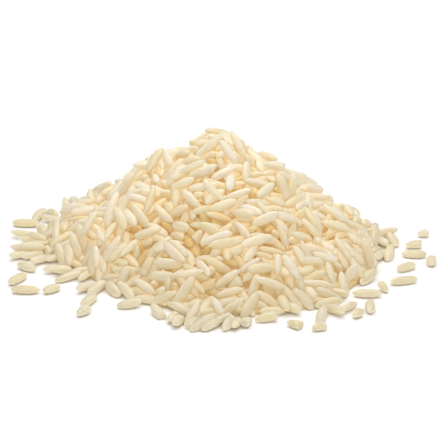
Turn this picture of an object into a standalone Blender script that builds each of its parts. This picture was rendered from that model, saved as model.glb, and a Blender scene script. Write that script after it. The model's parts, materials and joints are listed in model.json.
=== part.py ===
"""A heap of uncooked long-grain white rice as it lies on a table, with the stray grains round its foot.

Metres, +Z up. The origin is on the table, in the middle of the whole, and the front faces -Y. The heap is one
solid: a core just under the heap's uneven surface, with the grains that stand out most fused onto it. Each
stray grain is a solid of its own. The grains settle by a rule: they are poured from a seeded draw into a
shell over a hidden mound, then pressed apart until they lie on each other.
"""
import math
import random

import bmesh
import bpy
import numpy as np

# The heap's outline, seen from above as foot radii every 30 degrees from +X, and its smooth height
PEAK_PLACE = (-0.0010, 0.0020)
HEAP_HEIGHT = 0.0272
FOOT_RADII = (0.0403, 0.0382, 0.0396, 0.0410, 0.0428, 0.0432, 0.0417, 0.0378, 0.0390, 0.0437, 0.0452, 0.0426)
PEAK_ROUNDING = 0.18
FLANK_POWER = 0.96

# Lumps and dips of the flanks: length of each wave, its direction in degrees, phase and height
LUMPS = (
    (0.0105, 20.0, 0.4, 0.00040),
    (0.0130, 75.0, 2.1, 0.00045),
    (0.0095, 130.0, 4.0, 0.00035),
    (0.0170, 165.0, 1.2, 0.00050),
)
LUMP_FADE = 0.25
FOOT_FADE_HEIGHT = 0.004

# One grain: its size, the least its girth falls to at the tips, and how much grains differ, whole and broken
GRAIN_LENGTH = 0.0068
GRAIN_WIDTH = 0.00230
GRAIN_THICKNESS = 0.00182
TIP_GIRTH_SQUARED = 0.02
TIP_THICKNESS_SHARE = 0.35
LENGTH_SPREAD = 0.075
LENGTH_LIMITS = (0.82, 1.16)
GIRTH_SPREAD = 0.06
GIRTH_LIMITS = (0.86, 1.15)
FLATNESS_LIMITS = (0.95, 1.06)
BROKEN_SHARE = 0.07
BROKEN_LENGTHS = (0.45, 0.75)

# The poured shell of grains, and the table that they lie on
SEED = 7
GRAIN_COUNT = 1700
SHELL_DEPTH = 0.0062
POUR_ABOVE = 0.0025
POUR_REACH = 0.056
STEEPEST = 1.6
LOWEST_MIDDLE = 0.0008
SKIRT_DROP = 0.0014
SKIRT_SHARE = 0.3
SKIRT_HEIGHTS = (0.0009, 0.0016)
SKIRT_SLOPE = 0.001
DOWNHILL_SHARE = 0.35
DOWNHILL_SPREAD = 0.6
LEAN_SPREAD = 0.25
ROLL_SPREAD = 0.45

# The settling: steps, sinking a step, how far apart grains are looked at, and the outline's grid
SETTLE_STEPS = 320
SINK = 0.00004
REST_STEPS = 15
FADE_STEPS = 80
CROWD_SHARE = 0.45
MOUND_PUSH = 0.8
PAIRS_EVERY = 8
PAIR_SLACK = 0.0006
PAIR_REACH = 0.0034
INNER_SHARE = 0.8
GRID_CELL = 0.001
GRID_REACH = 0.066
SLOPE_STEP = 0.0001

# Hollows: the share of outer grains that are missing at the back and at the front, where the front begins and
# is full, how deep the outer grains lie, and how high over the table the hollows end
HOLLOWS_BACK = 0.02
HOLLOWS_FRONT = 0.20
FRONT_FROM = -0.006
FRONT_TO = -0.020
OUTER_DEPTH = 0.0017
HOLLOWS_ABOVE = 0.003

# The fused grains and the core under them
SHOWN_SPACING = 0.00365
SHOWN_DEPTH = 0.0030
SHOWN_COUNT = 290
SHOWN_SIDES = 5
SHOWN_RINGS = (-0.52, 0.52)
SEAT_HIGHEST = 0.0008
SEAT_LOWEST = 0.0001
CORE_RINGS = 10
CORE_SEGMENTS = 30
CORE_RING_POWER = 0.9
CORE_INSET = 0.0003
CORE_DEEPEST = 0.0018
CORE_FOOT_INSET = 0.0008
CORE_STRAY_GAP = 0.0020
CORE_RIM = 0.0006
CORE_BLEND = 0.0022
FOOT_GRAIN_DROP = 0.0008
FOOT_GRAIN_REACH = 0.0008
BARE_FOOT_INSET = 0.0015
BARE_FOOT_REACH = 0.0040
TABLE_GAP = 0.00005

# The stray grains: place of the middle, heading in degrees from +X, length. Each lies on the table.
STRAY_GAP = 0.0004
STRAY_SIDES = 8
STRAY_RINGS = (-0.8, -0.3, 0.3, 0.8)
STRAYS = (
    (-0.0434, -0.0250, -2, 0.0066),
    (-0.0457, -0.0185, 58, 0.0064),
    (-0.0376, -0.0245, 40, 0.0048),
    (-0.0442, -0.0115, -38, 0.0056),
    (-0.0466, 0.0162, -4, 0.0066),
    (-0.0301, -0.0375, 58, 0.0036),
    (-0.0290, -0.0310, 64, 0.0064),
    (0.0476, 0.0093, 20, 0.0024),
    (0.0450, 0.0022, 8, 0.0038),
    (0.0448, -0.0036, -4, 0.0058),
    (0.0486, -0.0078, 84, 0.0048),
    (0.0424, -0.0115, 34, 0.0052),
    (0.0412, -0.0195, 16, 0.0066),
    (0.0326, -0.0272, -3, 0.0068),
    (0.0328, -0.0345, 86, 0.0062),
    (0.0296, -0.0388, 62, 0.0028),
    (0.0208, -0.0458, 28, 0.0028),
    (0.0158, -0.0440, -36, 0.0036),
)

# Finishes: linear colour and roughness
RICE_COLOUR = (0.80, 0.66, 0.44)
STRAY_COLOUR = (0.76, 0.64, 0.42)
RICE_ROUGHNESS = 0.42


def clear_scene():
    for thing in list(bpy.data.objects):
        bpy.data.objects.remove(thing)


def rice_material(name, colour):
    material = bpy.data.materials.new(name)
    material.use_nodes = True
    shader = material.node_tree.nodes["Principled BSDF"]
    shader.inputs["Base Color"].default_value = (*colour, 1.0)
    shader.inputs["Roughness"].default_value = RICE_ROUGHNESS
    shader.inputs["Metallic"].default_value = 0.0
    return material


# Heap outline

def foot_radius(angle):
    """Distance from the peak to the heap's foot in one direction."""
    steps = len(FOOT_RADII)
    place = (angle / (2 * math.pi) % 1.0) * steps
    low = int(place) % steps
    share = place - int(place)
    share = share * share * (3 - 2 * share)
    return FOOT_RADII[low] * (1 - share) + FOOT_RADII[(low + 1) % steps] * share


def outline_height(x, y):
    """Height of the heap's outline over the table, below zero outside its foot."""
    reach = math.hypot(x, y) / foot_radius(math.atan2(y, x))
    edge = math.sqrt(1 + PEAK_ROUNDING**2)
    share = (edge - math.sqrt(reach**2 + PEAK_ROUNDING**2)) / (edge - PEAK_ROUNDING)
    if share < 0:
        return HEAP_HEIGHT * share
    return HEAP_HEIGHT * share**FLANK_POWER + min(share / LUMP_FADE, 1.0) * lumps(x, y)


def lumps(x, y):
    """How far the flank stands above or below its smooth form."""
    rise = 0.0
    for length, direction, phase, height in LUMPS:
        way = math.radians(direction)
        rise += height * math.sin(2 * math.pi / length * (x * math.cos(way) + y * math.sin(way)) + phase)
    return rise


def outline_slope(x, y):
    step = SLOPE_STEP
    height = outline_height(x, y)
    return (outline_height(x + step, y) - height) / step, (outline_height(x, y + step) - height) / step


def outline_grid():
    """The outline's height on a square grid, rounded so that it is the same everywhere."""
    ticks = [-GRID_REACH + i * GRID_CELL for i in range(int(round(2 * GRID_REACH / GRID_CELL)) + 1)]
    return np.round([[outline_height(x, y) for y in ticks] for x in ticks], 8)


# Vectors, one in each row

def dot(p, q):
    return p[:, 0] * q[:, 0] + p[:, 1] * q[:, 1] + p[:, 2] * q[:, 2]


def unit(p):
    return p / np.sqrt(dot(p, p))[:, None]


def across(direction, axis):
    """The part of a direction that is square to an axis."""
    return direction - axis * dot(direction, axis)[:, None]


def outward(grid, place):
    """Depth below the outline, and the outline's outward direction, at each place."""
    u = np.clip((place[:, 0] + GRID_REACH) / GRID_CELL, 0, len(grid) - 1.001)
    v = np.clip((place[:, 1] + GRID_REACH) / GRID_CELL, 0, len(grid) - 1.001)
    i = u.astype(int)
    j = v.astype(int)
    a = u - i
    b = v - j
    low, right, back, far = grid[i, j], grid[i + 1, j], grid[i, j + 1], grid[i + 1, j + 1]
    height = low * (1 - a) * (1 - b) + right * a * (1 - b) + back * (1 - a) * b + far * a * b
    slope_x = ((right - low) * (1 - b) + (far - back) * b) / GRID_CELL
    slope_y = ((back - low) * (1 - a) + (far - right) * a) / GRID_CELL
    steep = np.clip(height / FOOT_FADE_HEIGHT, 0, 1)
    normal = unit(np.stack([-slope_x * steep, -slope_y * steep, np.ones_like(steep)], axis=1))
    return (height - place[:, 2]) * normal[:, 2], normal


# Grains

class Grains:
    """Loose grains: middle, long axis, half length, half width, half thickness and roll, a row for each."""

    def __init__(self, rows):
        place, axis, half, wide, thick, roll = zip(*rows)
        self.place = np.round(place, 8)
        self.axis = unit(np.round(axis, 8))
        self.half = np.round(half, 8)
        self.wide = np.round(wide, 8)
        self.thick = np.round(thick, 8)
        self.roll = np.round([(math.cos(r), math.sin(r)) for r in roll], 8)
        self.flat = None

    def keep(self, chosen):
        for name, values in vars(self).items():
            setattr(self, name, values[chosen])

    @classmethod
    def joined(cls, first, second):
        """Two lots of grains as one."""
        both = cls.__new__(cls)
        for name in vars(first):
            setattr(both, name, np.concatenate([getattr(first, name), getattr(second, name)]))
        return both

    def turn_flat_side(self, normal):
        """Lays each grain's flat side to the slope, but for its own roll."""
        side = unit(np.cross(self.axis, normal))
        flat = np.cross(side, self.axis)
        self.flat = unit(flat * self.roll[:, :1] + side * self.roll[:, 1:])

    def reach(self, which, along, way):
        """How far the skin lies from the axis, in one direction, at a place along the grain."""
        square = across(way, self.axis[which])
        squared = dot(square, square)
        flat = dot(square, self.flat[which])
        wide_part = self.wide[which] ** 2 * np.maximum(squared - flat * flat, 0)
        radius = np.sqrt((self.thick[which] * flat) ** 2 + wide_part)
        tip = TIP_THICKNESS_SHARE * self.thick[which] * np.maximum(1 - squared, 0)
        return radius * girth(along / self.half[which]) + tip


def girth(share):
    """A grain's radius as a share of its middle's, at a share of its half length."""
    return np.sqrt(np.maximum(1 - share * share, TIP_GIRTH_SQUARED))


def limited_gauss(draw, spread, limits):
    return min(max(draw.gauss(1, spread), limits[0]), limits[1])


def grain_heading(draw, slope_x, slope_y):
    """A grain's long axis: near the slope's plane, and a third of them roughly downhill."""
    size = math.sqrt(1 + slope_x**2 + slope_y**2)
    steep = math.hypot(slope_x, slope_y) + 1e-9
    normal = (-slope_x / size, -slope_y / size, 1 / size)
    down = (-slope_x / steep / size, -slope_y / steep / size, -steep / size)
    side = (slope_y / steep, -slope_x / steep, 0.0)
    turn = draw.gauss(0, DOWNHILL_SPREAD) if draw.random() < DOWNHILL_SHARE else draw.uniform(0, math.pi)
    lean = draw.gauss(0, LEAN_SPREAD)
    level = [d * math.cos(turn) + s * math.sin(turn) for d, s in zip(down, side)]
    return [p * math.cos(lean) + n * math.sin(lean) for p, n in zip(level, normal)]


def grain_size(draw):
    """Half length, half width and half thickness of one grain."""
    length = GRAIN_LENGTH * limited_gauss(draw, LENGTH_SPREAD, LENGTH_LIMITS)
    if draw.random() < BROKEN_SHARE:
        length *= draw.uniform(*BROKEN_LENGTHS)
    plump = limited_gauss(draw, GIRTH_SPREAD, GIRTH_LIMITS)
    thick = GRAIN_THICKNESS * plump * draw.uniform(*FLATNESS_LIMITS) / 2
    return length / 2, GRAIN_WIDTH * plump / 2, thick


def pour(draw):
    """Scatters loose grains evenly through the shell, and thinly on the table round its foot."""
    rows = []
    while len(rows) < GRAIN_COUNT:
        x = draw.uniform(-POUR_REACH, POUR_REACH)
        y = draw.uniform(-POUR_REACH, POUR_REACH)
        height = outline_height(x, y)
        skirt = height < 0
        if height < -SKIRT_DROP or (skirt and draw.random() > SKIRT_SHARE):
            continue
        slope_x, slope_y = outline_slope(x, y)
        size = math.sqrt(1 + slope_x**2 + slope_y**2)
        if draw.random() > size / STEEPEST:
            continue
        z = height - draw.uniform(-POUR_ABOVE, SHELL_DEPTH) * size
        if skirt:
            z = draw.uniform(*SKIRT_HEIGHTS)
            slope_x = slope_y = SKIRT_SLOPE
        if z < LOWEST_MIDDLE:
            continue
        axis = grain_heading(draw, slope_x, slope_y)
        rows.append(((x, y, z), axis, *grain_size(draw), draw.gauss(0, ROLL_SPREAD)))
    return Grains(rows)


# Settling

def near_pairs(grains):
    """Pairs of grains that lie close enough to touch, found through a grid of cells."""
    place = grains.place
    cell = 2 * float(grains.half.max()) + PAIR_SLACK
    spot = np.floor((place - place.min(axis=0)) / cell).astype(np.int64) + 1
    size = spot.max(axis=0) + 2
    key = (spot[:, 0] * size[1] + spot[:, 1]) * size[2] + spot[:, 2]
    order = np.argsort(key, kind="stable")
    ranked = key[order]
    firsts, seconds = [], []
    steps = (-1, 0, 1)
    for shift in [(i * size[1] + j) * size[2] + k for i in steps for j in steps for k in steps]:
        start = np.searchsorted(ranked, key + shift, "left")
        count = np.searchsorted(ranked, key + shift, "right") - start
        first = np.repeat(np.arange(len(place)), count)
        offset = np.arange(len(first)) - np.repeat(np.cumsum(count) - count, count)
        second = order[np.repeat(start, count) + offset]
        keep = first < second
        firsts.append(first[keep])
        seconds.append(second[keep])
    first, second = np.concatenate(firsts), np.concatenate(seconds)
    *_, apart = closest(grains, first, second)
    keep = dot(apart, apart) < PAIR_REACH**2
    return first[keep], second[keep]


def closest(grains, i, j):
    """Where along each of two grains' inner lengths they come closest, and the way from one to the other."""
    gap = grains.place[j] - grains.place[i]
    axis_i, axis_j = grains.axis[i], grains.axis[j]
    limit_i, limit_j = grains.half[i] * INNER_SHARE, grains.half[j] * INNER_SHARE
    turn = dot(axis_i, axis_j)
    on_i = dot(gap, axis_i)
    on_j = dot(gap, axis_j)
    spread = np.maximum(1 - turn * turn, 1e-6)
    along_i = (on_i - turn * on_j) / spread
    along_j = (turn * on_i - on_j) / spread
    over_i = np.abs(along_i) - limit_i
    over_j = np.abs(along_j) - limit_j
    inside = (over_i <= 0) & (over_j <= 0)
    end_i = np.clip(along_i, -limit_i, limit_i)
    end_j = np.clip(along_j, -limit_j, limit_j)
    from_i = np.clip(end_i * turn - on_j, -limit_j, limit_j)
    from_j = np.clip(end_j * turn + on_i, -limit_i, limit_i)
    along_i = np.where(inside, along_i, np.where(over_i >= over_j, end_i, from_j))
    along_j = np.where(inside, along_j, np.where(over_i >= over_j, from_i, end_j))
    return along_i, along_j, gap + axis_j * along_j[:, None] - axis_i * along_i[:, None]


def press_apart(grains, pairs, turn_mass):
    """Moves and turns grains that overlap away from each other."""
    i, j = pairs
    along_i, along_j, apart = closest(grains, i, j)
    distance = np.sqrt(np.maximum(dot(apart, apart), 1e-14))
    way = apart / distance[:, None]
    over = grains.reach(i, along_i, way) + grains.reach(j, along_j, way) - distance
    hit = over > 0
    i, j, way, along_i, along_j, over = i[hit], j[hit], way[hit], along_i[hit], along_j[hit], over[hit]
    square_i = across(way, grains.axis[i])
    square_j = across(way, grains.axis[j])
    weight_i = 1 + along_i**2 * dot(square_i, square_i) / turn_mass[i]
    weight_j = 1 + along_j**2 * dot(square_j, square_j) / turn_mass[j]
    push = over / (weight_i + weight_j)
    count = len(grains.place)
    touches = np.bincount(i, minlength=count) + np.bincount(j, minlength=count)
    share = 1.0 / np.maximum(1.0, touches * CROWD_SHARE)
    move = np.zeros((count, 3))
    turn = np.zeros((count, 3))
    for k in range(3):
        move[:, k] = np.bincount(j, way[:, k] * push, count) - np.bincount(i, way[:, k] * push, count)
        turn_j = square_j[:, k] * push * along_j / turn_mass[j]
        turn_i = square_i[:, k] * push * along_i / turn_mass[i]
        turn[:, k] = np.bincount(j, turn_j, count) - np.bincount(i, turn_i, count)
    grains.place = grains.place + move * share[:, None]
    grains.axis = unit(grains.axis + turn * share[:, None])


def press_out(grains, along, way, over, turn_mass):
    """Moves and turns grains one way, by how far each is over a limit at a place along it."""
    square = across(way, grains.axis)
    push = over / (1 + along**2 * dot(square, square) / turn_mass)
    grains.place = grains.place + way * push[:, None]
    grains.axis = unit(grains.axis + square * (push * along / turn_mass)[:, None])


def settle(grains, grid):
    """Lets the grains sink onto the hidden mound, each other and the table."""
    everyone = np.arange(len(grains.place))
    up = np.zeros((len(everyone), 3))
    up[:, 2] = 1
    turn_mass = (grains.half**2 + grains.wide**2) / 5
    for step in range(SETTLE_STEPS):
        _, normal = outward(grid, grains.place)
        fade = (SETTLE_STEPS - REST_STEPS - step) / FADE_STEPS
        grains.place = grains.place - normal * (SINK * min(1.0, max(0.0, fade)))
        grains.turn_flat_side(normal)
        if step % PAIRS_EVERY == 0:
            pairs = near_pairs(grains)
        press_apart(grains, pairs, turn_mass)
        for share in (-INNER_SHARE, 0.0, INNER_SHARE):
            along = grains.half * share
            depth, normal = outward(grid, grains.place + grains.axis * along[:, None])
            over = np.maximum(depth + grains.reach(everyone, along, normal) - SHELL_DEPTH, 0)
            press_out(grains, along, normal, MOUND_PUSH * over, turn_mass)
            height = grains.place[:, 2] + grains.axis[:, 2] * along
            over = np.maximum(grains.reach(everyone, along, up) - height, 0)
            press_out(grains, along, up, over, turn_mass)


def lift_onto_table(grains):
    """Raises the few grains that still dip below the table."""
    lowest = np.full(len(grains.place), 1.0)
    side = np.cross(grains.axis, grains.flat)
    drop = np.sqrt((grains.wide * side[:, 2]) ** 2 + (grains.thick * grains.flat[:, 2]) ** 2)
    for share in np.linspace(-1, 1, 21):
        height = grains.place[:, 2] + grains.axis[:, 2] * grains.half * share
        lowest = np.minimum(lowest, height - drop * girth(share))
    grains.place[:, 2] += np.maximum(TABLE_GAP - lowest, 0)


def clear_of(grains, others, gap):
    """Which grains keep a gap to all the others."""
    both = Grains.joined(grains, others)
    count = len(grains.place)
    clear = np.ones(count, dtype=bool)
    i = np.arange(count)
    for other in range(count, len(both.place)):
        j = np.full(count, other)
        along_i, along_j, apart = closest(both, i, j)
        distance = np.sqrt(np.maximum(dot(apart, apart), 1e-14))
        way = apart / distance[:, None]
        clear &= distance > both.reach(i, along_i, way) + both.reach(j, along_j, way) + gap
    return clear


def in_hollow(grains, grid, draw):
    """Which of the outer grains are missing: more of them at the front."""
    depth, _ = outward(grid, grains.place)
    front = np.clip((FRONT_FROM - grains.place[:, 1]) / (FRONT_FROM - FRONT_TO), 0, 1)
    share = HOLLOWS_BACK + (HOLLOWS_FRONT - HOLLOWS_BACK) * front
    return (draw.random(len(depth)) < share) & (depth < OUTER_DEPTH) & (grains.place[:, 2] > HOLLOWS_ABOVE)


# Stray grains

def stray_grains():
    """The stray grains, each flat on the table."""
    rows = []
    for x, y, heading, length in STRAYS:
        angle = math.radians(heading)
        place = (x - PEAK_PLACE[0], y - PEAK_PLACE[1], GRAIN_THICKNESS / 2)
        axis = (math.cos(angle), math.sin(angle), 0.0)
        rows.append((place, axis, length / 2, GRAIN_WIDTH / 2, GRAIN_THICKNESS / 2, 0.0))
    grains = Grains(rows)
    up = np.zeros((len(rows), 3))
    up[:, 2] = 1
    grains.turn_flat_side(up)
    return grains


# Solids

def grain_mesh(name, grains, index, sides, rings):
    """A spindle of few sides, as wide on average as the round grain."""
    fill = math.sqrt(2 * math.pi / sides / math.sin(2 * math.pi / sides))
    middle, axis, flat = grains.place[index], grains.axis[index], grains.flat[index]
    side = np.cross(axis, flat)
    half = grains.half[index]
    shape = bmesh.new()

    def vertex(share, radius, angle):
        wide = side * (grains.wide[index] * radius * math.cos(angle))
        thick = flat * (grains.thick[index] * radius * math.sin(angle))
        x, y, z = middle + axis * (half * share) + wide + thick
        return shape.verts.new((x + PEAK_PLACE[0], y + PEAK_PLACE[1], max(z, TABLE_GAP)))

    turns = [2 * math.pi * (k + 0.5) / sides for k in range(sides)]
    loops = [[vertex(share, float(girth(share)) * fill, turn) for turn in turns] for share in rings]
    ends = vertex(-1.0, 0.0, 0.0), vertex(1.0, 0.0, 0.0)
    for k in range(sides):
        after = (k + 1) % sides
        shape.faces.new((ends[0], loops[0][after], loops[0][k]))
        shape.faces.new((ends[1], loops[-1][k], loops[-1][after]))
        for low, high in zip(loops, loops[1:]):
            shape.faces.new((low[k], low[after], high[after], high[k]))
    return finish_mesh(name, shape)


def finish_mesh(name, shape):
    """Turns a bmesh into a mesh of triangles that face out."""
    bmesh.ops.triangulate(shape, faces=shape.faces)
    bmesh.ops.recalc_face_normals(shape, faces=shape.faces)
    mesh = bpy.data.meshes.new(name)
    shape.to_mesh(mesh)
    shape.free()
    return mesh


def add_object(name, mesh, material, collection):
    thing = bpy.data.objects.new(name, mesh)
    mesh.materials.clear()
    mesh.materials.append(material)
    collection.objects.link(thing)
    return thing


def standing_out(grains, grid):
    """The grains that stand out most from the heap, evenly spread."""
    depth, _ = outward(grid, grains.place)
    chosen = []
    for index in np.argsort(depth, kind="stable"):
        gaps = grains.place[chosen] - grains.place[index]
        apart = not chosen or float(dot(gaps, gaps).min()) > SHOWN_SPACING**2
        if apart and depth[index] < SHOWN_DEPTH and len(chosen) < SHOWN_COUNT:
            chosen.append(int(index))
    return chosen


class Core:
    """The mound under the shown grains: it passes just under their middles and ends among the lowest ones."""

    def __init__(self, grains, strays, grid):
        depth, _ = outward(grid, grains.place)
        self.place = grains.place
        self.depth = np.minimum(depth, CORE_DEEPEST)
        self.at_foot = grains.place[depth + grains.place[:, 2] < FOOT_GRAIN_DROP]
        self.foot_reach = np.sqrt(self.at_foot[:, 0] ** 2 + self.at_foot[:, 1] ** 2) - CORE_FOOT_INSET
        shares = np.linspace(-0.9, 0.9, 5)
        spots = [strays.place + strays.axis * (strays.half * share)[:, None] for share in shares]
        self.stray_spots = np.concatenate(spots)

    @staticmethod
    def blend(values, x, y, place, far_value=0.0, far_weight=0.0):
        """The mean of the values of the grains round a place, the nearest counting most."""
        weights = 1 / ((place[:, 0] - x) ** 2 + (place[:, 1] - y) ** 2 + CORE_BLEND**2) ** 2
        total = float(np.cumsum(weights * values)[-1]) + far_weight * far_value
        return total / (float(np.cumsum(weights)[-1]) + far_weight)

    def depth_at(self, x, y):
        return self.blend(self.depth, x, y, self.place) + CORE_INSET

    def near_stray(self, angle, radius):
        apart = self.stray_spots[:, :2] - (radius * math.cos(angle), radius * math.sin(angle))
        return (apart[:, 0] ** 2 + apart[:, 1] ** 2).min() < CORE_STRAY_GAP**2

    def foot_at(self, angle):
        radius = foot_radius(angle)
        x, y = radius * math.cos(angle), radius * math.sin(angle)
        bare = radius - BARE_FOOT_INSET
        radius = self.blend(self.foot_reach, x, y, self.at_foot, bare, 1 / BARE_FOOT_REACH**4)
        turns = [angle + share * 2 * math.pi / CORE_SEGMENTS for share in (-1, -0.5, 0, 0.5, 1)]
        while any(self.near_stray(turn, radius) for turn in turns):
            radius -= CORE_STRAY_GAP / 10
        return radius

    def top(self, x, y):
        slope_x, slope_y = outline_slope(x, y)
        height = outline_height(x, y) - self.depth_at(x, y) * math.sqrt(1 + slope_x**2 + slope_y**2)
        return max(height, CORE_RIM)

    def mesh(self):
        shape = bmesh.new()
        peak = shape.verts.new((*PEAK_PLACE, self.top(0, 0)))
        loops = []
        for ring in range(1, CORE_RINGS + 1):
            loop = []
            for segment in range(CORE_SEGMENTS):
                angle = 2 * math.pi * (segment + ring % 2 / 2) / CORE_SEGMENTS
                radius = self.foot_at(angle) * (ring / CORE_RINGS) ** CORE_RING_POWER
                x, y = radius * math.cos(angle), radius * math.sin(angle)
                loop.append(shape.verts.new((x + PEAK_PLACE[0], y + PEAK_PLACE[1], self.top(x, y))))
            loops.append(loop)
        loops.append([shape.verts.new((v.co.x, v.co.y, 0)) for v in loops[-1]])
        for k in range(CORE_SEGMENTS):
            after = (k + 1) % CORE_SEGMENTS
            shape.faces.new((peak, loops[0][k], loops[0][after]))
            for inner, outer in zip(loops, loops[1:]):
                shape.faces.new((inner[k], outer[k], outer[after], inner[after]))
        shape.faces.new(reversed(loops[-1]))
        return finish_mesh("core", shape)

    def seat(self, grains, grid):
        """Moves each grain so that it is part sunk in the core, or at the foot crosses its rim."""
        depth, normal = outward(grid, grains.place)
        for k in range(len(grains.place)):
            x, y, z = grains.place[k]
            if depth[k] + z < FOOT_GRAIN_DROP:
                reach = math.hypot(x, y)
                pull = min(1.0, (self.foot_at(math.atan2(y, x)) + FOOT_GRAIN_REACH) / reach)
                grains.place[k] = (x * pull, y * pull, z)
            else:
                core_depth = self.depth_at(x, y)
                wanted = min(max(depth[k], core_depth - SEAT_HIGHEST), core_depth - SEAT_LOWEST)
                grains.place[k] += normal[k] * (depth[k] - wanted)


def fuse(body, pieces):
    """Joins the pieces in a collection to a body for good, then removes them."""
    union = body.modifiers.new("grains", "BOOLEAN")
    union.operation = "UNION"
    union.operand_type = "COLLECTION"
    union.collection = pieces
    union.solver = "EXACT"
    fused = bpy.data.meshes.new_from_object(body.evaluated_get(bpy.context.evaluated_depsgraph_get()))
    body.modifiers.clear()
    body.data = fused
    for piece in list(pieces.objects):
        bpy.data.objects.remove(piece)
    bpy.data.collections.remove(pieces)


def keep_outer_shell(body):
    """Keeps the largest closed shell, which fills sealed hollows and drops loose scraps."""
    shape = bmesh.new()
    shape.from_mesh(body.data)
    bmesh.ops.triangulate(shape, faces=shape.faces)
    left = set(shape.faces)
    shells = []
    while left:
        shell = [left.pop()]
        for face in shell:
            for neighbour in {other for edge in face.edges for other in edge.link_faces} & left:
                left.discard(neighbour)
                shell.append(neighbour)
        shells.append(shell)
    largest = max(shells, key=len)
    loose = [face for shell in shells if shell is not largest for face in shell]
    bmesh.ops.delete(shape, geom=loose, context="FACES")
    shape.to_mesh(body.data)
    shape.free()


def build_heap(grains, strays, grid):
    """The heap's one solid."""
    scene_collection = bpy.context.scene.collection
    material = rice_material("rice", RICE_COLOUR)
    grains.keep(standing_out(grains, grid))
    core = Core(grains, strays, grid)
    heap = add_object("rice_heap", core.mesh(), material, scene_collection)
    core.seat(grains, grid)
    pieces = bpy.data.collections.new("shown_grains")
    for index in range(len(grains.place)):
        mesh = grain_mesh("grain", grains, index, SHOWN_SIDES, SHOWN_RINGS)
        add_object(f"grain_{index}", mesh, material, pieces)
    fuse(heap, pieces)
    keep_outer_shell(heap)


def build_strays(strays):
    material = rice_material("stray_rice", STRAY_COLOUR)
    for index in range(len(strays.place)):
        name = f"stray_grain_{index + 1:02d}"
        mesh = grain_mesh(name, strays, index, STRAY_SIDES, STRAY_RINGS)
        add_object(name, mesh, material, bpy.context.scene.collection)


def main():
    clear_scene()
    grid = outline_grid()
    grains = pour(random.Random(SEED))
    settle(grains, grid)
    lift_onto_table(grains)
    grains.keep(~in_hollow(grains, grid, np.random.default_rng(SEED)))
    strays = stray_grains()
    grains.keep(clear_of(grains, strays, STRAY_GAP))
    build_heap(grains, strays, grid)
    build_strays(strays)


main()
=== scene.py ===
"""The looks of a heap of uncooked long-grain white rice: its grains over a core, and its strays.

Metres, +Z up, in the frame of the solids. The grains of the heap's outer layers settle by the same rule
and from the same seed as the ones fused onto the solid heap. Each is a spindle with uneven tips, flat
sides, fine ridges, and often the oblique notch that the germ leaves. A stray lies where its own solid does.
"""

import json
import math
import random
from collections import namedtuple

import bpy
import numpy as np
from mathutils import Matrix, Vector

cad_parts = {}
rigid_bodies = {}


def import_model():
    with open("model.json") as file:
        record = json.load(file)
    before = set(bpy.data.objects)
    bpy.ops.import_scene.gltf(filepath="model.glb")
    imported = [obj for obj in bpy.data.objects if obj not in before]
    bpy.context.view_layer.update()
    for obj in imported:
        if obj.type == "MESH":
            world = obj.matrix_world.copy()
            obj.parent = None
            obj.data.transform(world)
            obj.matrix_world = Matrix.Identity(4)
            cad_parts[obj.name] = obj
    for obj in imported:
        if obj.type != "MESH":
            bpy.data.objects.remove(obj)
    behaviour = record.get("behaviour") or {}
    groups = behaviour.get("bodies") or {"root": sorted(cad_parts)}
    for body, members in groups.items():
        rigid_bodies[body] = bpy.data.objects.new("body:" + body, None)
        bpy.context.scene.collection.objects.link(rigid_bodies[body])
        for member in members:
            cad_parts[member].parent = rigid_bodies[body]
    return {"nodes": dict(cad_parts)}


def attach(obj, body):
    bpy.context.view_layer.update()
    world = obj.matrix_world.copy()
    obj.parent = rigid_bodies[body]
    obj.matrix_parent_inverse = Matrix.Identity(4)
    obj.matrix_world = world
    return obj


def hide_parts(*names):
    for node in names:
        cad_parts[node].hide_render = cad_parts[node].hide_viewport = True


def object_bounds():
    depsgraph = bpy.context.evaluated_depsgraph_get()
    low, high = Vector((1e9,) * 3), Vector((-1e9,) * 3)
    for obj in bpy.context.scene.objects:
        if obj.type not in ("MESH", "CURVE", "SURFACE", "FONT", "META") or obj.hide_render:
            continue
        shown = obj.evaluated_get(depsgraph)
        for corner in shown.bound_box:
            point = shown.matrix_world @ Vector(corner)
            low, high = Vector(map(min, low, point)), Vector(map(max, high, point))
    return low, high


# The heap's outline, seen from above as foot radii every 30 degrees from +X, and its smooth height
PEAK_PLACE = (-0.0010, 0.0020)
HEAP_HEIGHT = 0.0272
FOOT_RADII = (
    0.0403, 0.0382, 0.0396, 0.0410, 0.0428, 0.0432,
    0.0417, 0.0378, 0.0390, 0.0437, 0.0452, 0.0426,
)
PEAK_ROUNDING = 0.18
FLANK_POWER = 0.96

# Lumps and dips of the flanks: length of each wave, its direction in degrees, phase and height
LUMPS = (
    (0.0105, 20.0, 0.4, 0.00040),
    (0.0130, 75.0, 2.1, 0.00045),
    (0.0095, 130.0, 4.0, 0.00035),
    (0.0170, 165.0, 1.2, 0.00050),
)
LUMP_FADE = 0.25
FOOT_FADE_HEIGHT = 0.004

# One grain: its size, the square of the least share of its girth that its tips keep and the share of its
# thickness that they add, and how much grains differ, whole and broken
GRAIN_LENGTH = 0.0068
GRAIN_WIDTH = 0.00230
GRAIN_THICKNESS = 0.00182
TIP_GIRTH_SQUARED = 0.02
TIP_THICKNESS_SHARE = 0.35
LENGTH_SPREAD = 0.075
LENGTH_LIMITS = (0.82, 1.16)
GIRTH_SPREAD = 0.06
GIRTH_LIMITS = (0.86, 1.15)
FLATNESS_LIMITS = (0.95, 1.06)
BROKEN_SHARE = 0.07
BROKEN_LENGTHS = (0.45, 0.75)

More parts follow.
